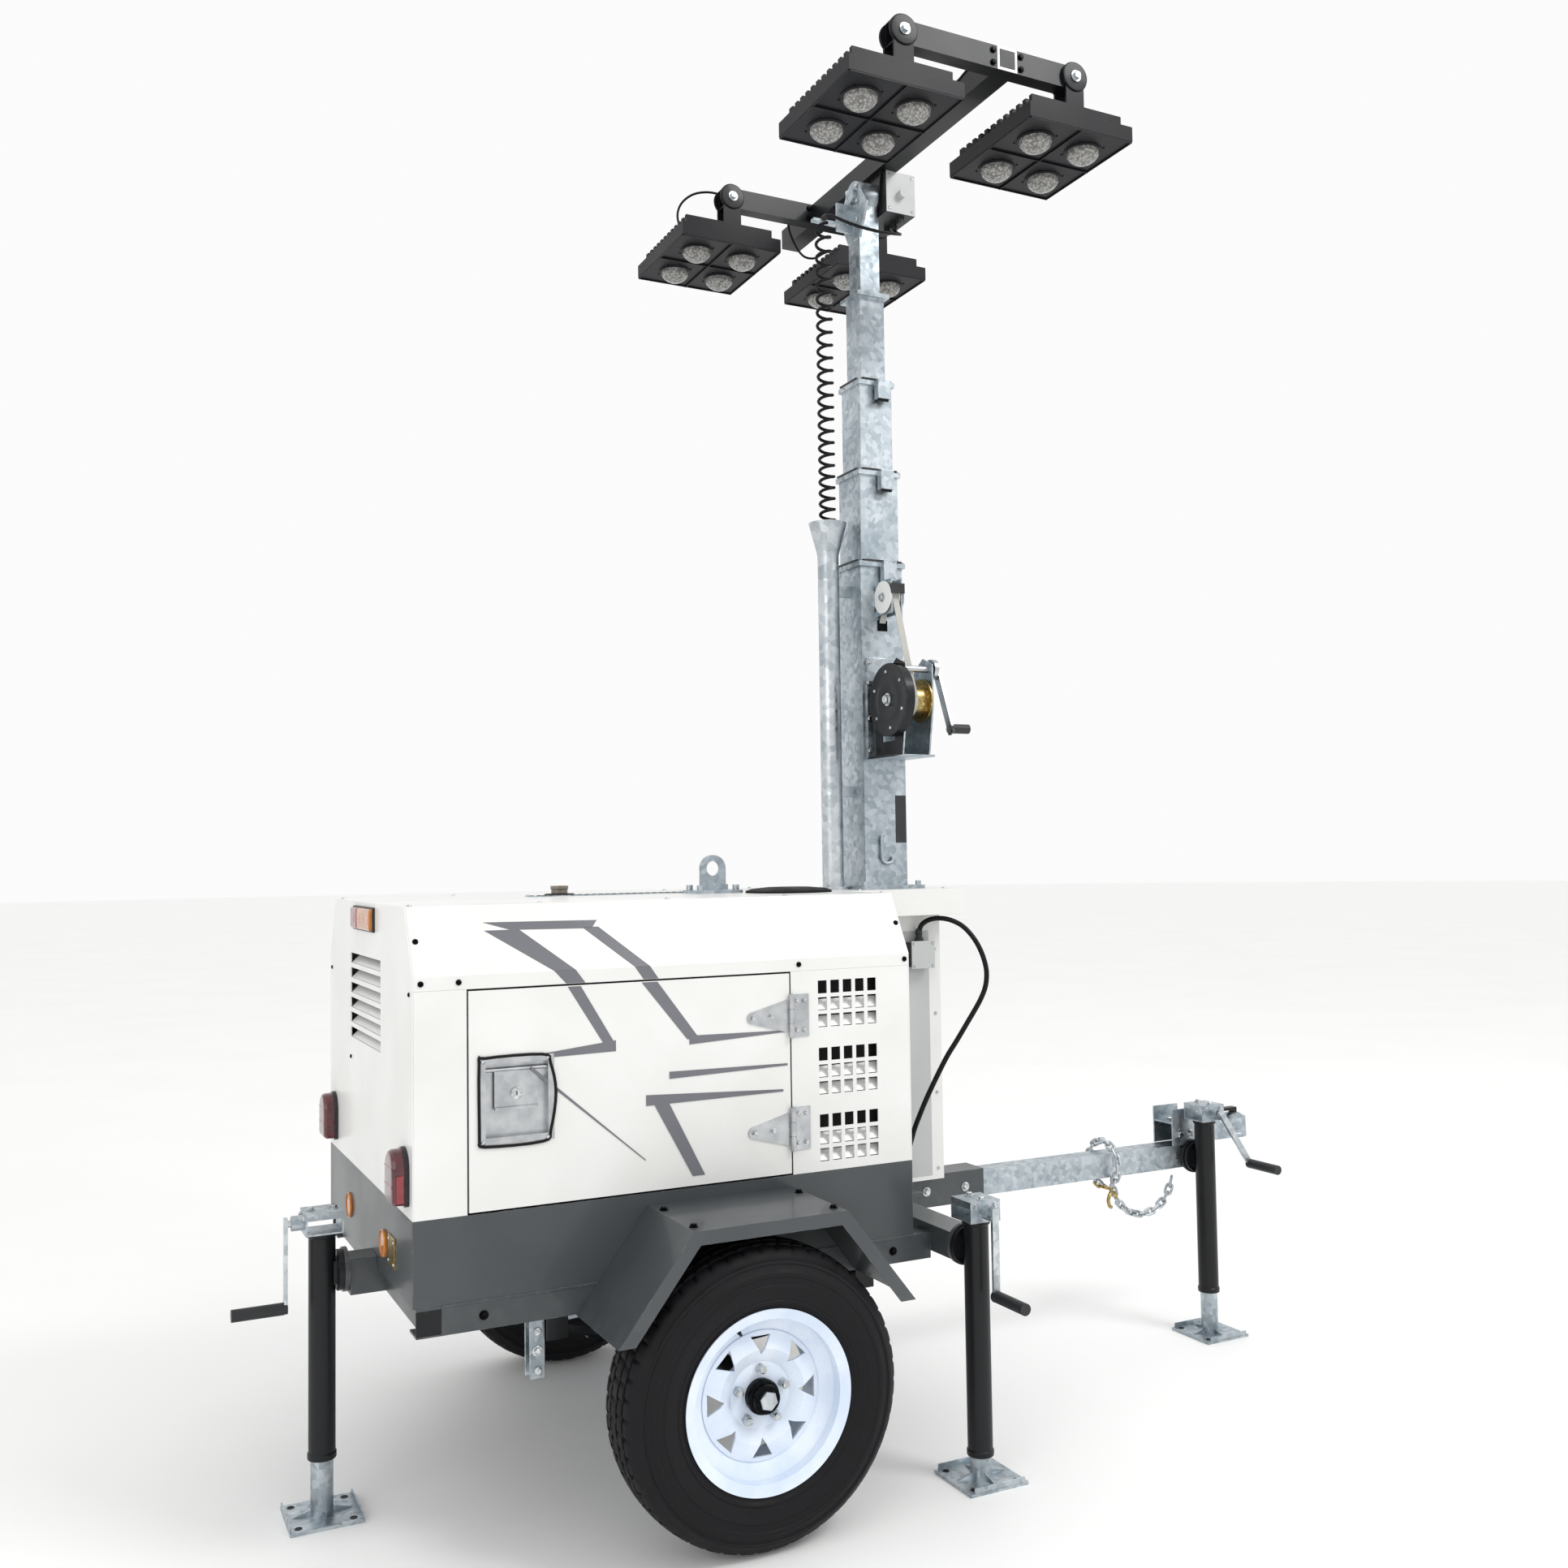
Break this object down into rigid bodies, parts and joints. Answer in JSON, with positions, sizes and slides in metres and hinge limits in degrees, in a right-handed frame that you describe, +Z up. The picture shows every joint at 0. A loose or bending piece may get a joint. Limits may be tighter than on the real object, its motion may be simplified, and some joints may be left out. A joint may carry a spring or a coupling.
{
  "type": "mobile lighting tower trailer",
  "caption": "Towable lighting tower: canopied generator trailer with a winched telescopic mast, tilting LED floodlights, screw jacks and a drawbar.",
  "frame": {"origin": "on the ground, under the middle of the trailer's overall length and width", "axes": "+X towards the drawbar and coupler, +Z up along the mast, +Y to the trailer's left"},
  "size_m": [3.081, 1.668, 3.5189],
  "materials": {
    "white_powder_coat": "semi-gloss powder coat",
    "grey_powder_coat": "semi-gloss powder coat",
    "black_powder_coat": "satin powder coat",
    "galvanised_steel": "hot-dip galvanised",
    "stainless_steel": "brushed",
    "red_lens": "moulded lens",
    "tyre_rubber": "moulded rubber",
    "wheel_paint": "gloss enamel",
    "cord_rubber": "rubber jacket",
    "engine_paint": "enamel on castings",
    "alternator_paint": "enamel",
    "heat_steel": "aluminised",
    "tank_plastic": "rotationally moulded",
    "panel_grey": "textured coat",
    "die_cast_black": "black powder coat on die-cast aluminium",
    "box_grey": "moulded",
    "pulley_nylon": "turned nylon"
  },
  "bodies": {
    "trailer": {"chassis_frame": "grey_powder_coat", "lower_tub": "grey_powder_coat", "roof_panel": "white_powder_coat", "rear_panel": "white_powder_coat", "front_panel": "white_powder_coat", "side_panels": "white_powder_coat", "door_hinges": "stainless_steel", "fenders": "grey_powder_coat", "axle": "black_powder_coat", "drawbar": "galvanised_steel", "coupler": "galvanised_steel", "safety_chain": "galvanised_steel", "rear_lamps": "red_lens", "roof_fittings": "galvanised_steel", "mast_column": "white_powder_coat", "mast_cap": "white_powder_coat", "engine": "engine_paint", "alternator": "alternator_paint", "radiator": "die_cast_black", "muffler": "heat_steel", "fuel_tank": "tank_plastic", "panel_and_battery": "panel_grey", "power_cable": "cord_rubber", "mast_section_1": "galvanised_steel", "guide_tube": "galvanised_steel", "winch_frame": "galvanised_steel"},
    "wheel_right": {"tyre_right": "tyre_rubber", "rim_right": "wheel_paint"},
    "wheel_left": {"tyre_left": "tyre_rubber", "rim_left": "wheel_paint"},
    "door_right": {"door_right": "white_powder_coat"},
    "latch_right": {"latch_right": "stainless_steel"},
    "door_left": {"door_left": "white_powder_coat"},
    "latch_left": {"latch_left": "stainless_steel"},
    "mast_2": {"mast_section_2": "galvanised_steel"},
    "mast_3": {"mast_section_3": "galvanised_steel"},
    "mast_top": {"mast_section_4": "galvanised_steel", "coil_cord": "cord_rubber"},
    "winch_drum": {"winch_drum": "galvanised_steel"},
    "winch_crank": {"winch_crank": "stainless_steel"},
    "pulley": {"pulley_wheel": "pulley_nylon"},
    "head": {"head_beam": "black_powder_coat", "junction_box": "box_grey"},
    "lamp_rear_right": {"lamp_rear_right": "die_cast_black"},
    "lamp_front_right": {"lamp_front_right": "die_cast_black"},
    "lamp_rear_left": {"lamp_rear_left": "die_cast_black"},
    "lamp_front_left": {"lamp_front_left": "die_cast_black"},
    "coupler_latch": {"coupler_latch": "black_powder_coat"},
    "jack_tube_rear": {"jack_tube_rear": "black_powder_coat"},
    "jack_leg_rear": {"jack_leg_rear": "galvanised_steel"},
    "jack_crank_rear": {"jack_crank_rear": "black_powder_coat"},
    "jack_tube_right": {"jack_tube_right": "black_powder_coat"},
    "jack_leg_right": {"jack_leg_right": "galvanised_steel"},
    "jack_crank_right": {"jack_crank_right": "black_powder_coat"},
    "jack_tube_left": {"jack_tube_left": "black_powder_coat"},
    "jack_leg_left": {"jack_leg_left": "galvanised_steel"},
    "jack_crank_left": {"jack_crank_left": "black_powder_coat"},
    "jack_tube_nose": {"jack_tube_nose": "black_powder_coat"},
    "jack_leg_nose": {"jack_leg_nose": "galvanised_steel"},
    "jack_crank_nose": {"jack_crank_nose": "black_powder_coat"}
  },
  "joints": [
    {"name": "wheel_right_spin", "type": "hinge", "parent": "trailer", "child": "wheel_right", "pos_m": [-0.5305, -0.6775, 0.325], "axis": [0, 1, 0], "continuous": true},
    {"name": "wheel_left_spin", "type": "hinge", "parent": "trailer", "child": "wheel_left", "pos_m": [-0.5305, 0.6775, 0.325], "axis": [0, 1, 0], "continuous": true},
    {"name": "door_right_hinge", "type": "hinge", "parent": "trailer", "child": "door_right", "pos_m": [-0.3375, -0.5045, 0.97], "axis": [0, 0, 1], "range_deg": [0, 110]},
    {"name": "latch_right_paddle", "type": "hinge", "parent": "door_right", "child": "latch_right", "pos_m": [-1.0025, -0.49, 1.033], "axis": [-1, 0, 0], "range_deg": [0, 30], "stiffness_Nm_per_rad": 0.8},
    {"name": "door_left_hinge", "type": "hinge", "parent": "trailer", "child": "door_left", "pos_m": [-0.3375, 0.5045, 0.97], "axis": [0, 0, -1], "range_deg": [0, 110]},
    {"name": "latch_left_paddle", "type": "hinge", "parent": "door_left", "child": "latch_left", "pos_m": [-1.0025, 0.49, 1.033], "axis": [1, 0, 0], "range_deg": [0, 30], "stiffness_Nm_per_rad": 0.8},
    {"name": "mast_extend", "type": "slide", "parent": "trailer", "child": "mast_top", "axis": [0, 0, 1], "range_m": [0, 3.6], "deforming": ["coil_cord"]},
    {"name": "mast_2_slide", "type": "slide", "parent": "trailer", "child": "mast_2", "axis": [0, 0, 1], "range_m": [0, 1.2]},
    {"name": "mast_3_slide", "type": "slide", "parent": "trailer", "child": "mast_3", "axis": [0, 0, 1], "range_m": [0, 2.4]},
    {"name": "winch_drum_turn", "type": "hinge", "parent": "trailer", "child": "winch_drum", "pos_m": [0.1875, -0.1895, 1.905], "axis": [1, 0, 0], "range_deg": [0, 1496]},
    {"name": "winch_crank_turn", "type": "hinge", "parent": "trailer", "child": "winch_crank", "pos_m": [0.1875, -0.2145, 1.989], "axis": [1, 0, 0], "range_deg": [-5980, 0]},
    {"name": "pulley_turn", "type": "hinge", "parent": "trailer", "child": "pulley", "pos_m": [0.1875, -0.1095, 2.201], "axis": [1, 0, 0], "range_deg": [0, 2457]},
    {"name": "head_tilt", "type": "hinge", "parent": "mast_top", "child": "head", "pos_m": [0.1875, 0, 3.385], "axis": [1, 0, 0], "range_deg": [-40, 40]},
    {"name": "lamp_rear_right_tilt", "type": "hinge", "parent": "head", "child": "lamp_rear_right", "pos_m": [-0.0765, -0.64, 3.48], "axis": [0, 1, 0], "range_deg": [-25, 60]},
    {"name": "lamp_front_right_tilt", "type": "hinge", "parent": "head", "child": "lamp_front_right", "pos_m": [0.4375, -0.64, 3.48], "axis": [0, 1, 0], "range_deg": [-60, 15]},
    {"name": "lamp_rear_left_tilt", "type": "hinge", "parent": "head", "child": "lamp_rear_left", "pos_m": [-0.0765, 0.357, 3.48], "axis": [0, 1, 0], "range_deg": [-25, 60]},
    {"name": "lamp_front_left_tilt", "type": "hinge", "parent": "head", "child": "lamp_front_left", "pos_m": [0.4375, 0.357, 3.48], "axis": [0, 1, 0], "range_deg": [-60, 15]},
    {"name": "coupler_latch_lift", "type": "hinge", "parent": "trailer", "child": "coupler_latch", "pos_m": [1.4175, 0, 0.645], "axis": [0, -1, 0], "range_deg": [0, 70]},
    {"name": "jack_rear_swing", "type": "hinge", "parent": "trailer", "child": "jack_tube_rear", "pos_m": [-1.3005, -0.09, 0.548], "axis": [1, 0, 0], "range_deg": [0, 90]},
    {"name": "jack_rear_leg", "type": "slide", "parent": "jack_tube_rear", "child": "jack_leg_rear", "axis": [0, 0, -1], "range_m": [-0.1, 0.2]},
    {"name": "jack_rear_crank", "type": "hinge", "parent": "jack_tube_rear", "child": "jack_crank_rear", "pos_m": [-1.4045, -0.09, 0.665], "axis": [-1, 0, 0], "range_deg": [-7202, 14402]},
    {"name": "jack_right_swing", "type": "hinge", "parent": "trailer", "child": "jack_tube_right", "pos_m": [0.0805, -0.594, 0.54], "axis": [0, -1, 0], "range_deg": [0, 90]},
    {"name": "jack_right_leg", "type": "slide", "parent": "jack_tube_right", "child": "jack_leg_right", "axis": [0, 0, -1], "range_m": [-0.03, 0.2]},
    {"name": "jack_right_crank", "type": "hinge", "parent": "jack_tube_right", "child": "jack_crank_right", "pos_m": [0.0805, -0.698, 0.635], "axis": [0, -1, 0], "range_deg": [-2162, 14402]},
    {"name": "jack_left_swing", "type": "hinge", "parent": "trailer", "child": "jack_tube_left", "pos_m": [0.0805, 0.594, 0.54], "axis": [0, -1, 0], "range_deg": [0, 90]},
    {"name": "jack_left_leg", "type": "slide", "parent": "jack_tube_left", "child": "jack_leg_left", "axis": [0, 0, -1], "range_m": [-0.03, 0.2]},
    {"name": "jack_left_crank", "type": "hinge", "parent": "jack_tube_left", "child": "jack_crank_left", "pos_m": [0.0805, 0.698, 0.635], "axis": [0, 1, 0], "range_deg": [-2162, 14402]},
    {"name": "jack_nose_swing", "type": "hinge", "parent": "trailer", "child": "jack_tube_nose", "pos_m": [1.2875, -0.059, 0.53], "axis": [0, 1, 0], "range_deg": [0, 70]},
    {"name": "jack_nose_leg", "type": "slide", "parent": "jack_tube_nose", "child": "jack_leg_nose", "axis": [0, 0, -1], "range_m": [-0.1, 0.2]},
    {"name": "jack_nose_crank", "type": "hinge", "parent": "jack_tube_nose", "child": "jack_crank_nose", "pos_m": [1.2875, -0.163, 0.675], "axis": [0, -1, 0], "range_deg": [-7202, 14402]}
  ],
  "couplings": [
    {"joint": "mast_2_slide", "follows": "mast_extend", "ratio": 0.33333},
    {"joint": "mast_3_slide", "follows": "mast_extend", "ratio": 0.66667},
    {"joint": "winch_drum_turn", "follows": "mast_extend", "rad_per_m": 7.2464},
    {"joint": "winch_crank_turn", "follows": "mast_extend", "rad_per_m": -28.986},
    {"joint": "pulley_turn", "follows": "mast_extend", "rad_per_m": 11.905},
    {"joint": "jack_rear_crank", "follows": "jack_rear_leg", "rad_per_m": 1256.6},
    {"joint": "jack_right_crank", "follows": "jack_right_leg", "rad_per_m": 1256.6},
    {"joint": "jack_left_crank", "follows": "jack_left_leg", "rad_per_m": 1256.6},
    {"joint": "jack_nose_crank", "follows": "jack_nose_leg", "rad_per_m": 1256.6}
  ]
}
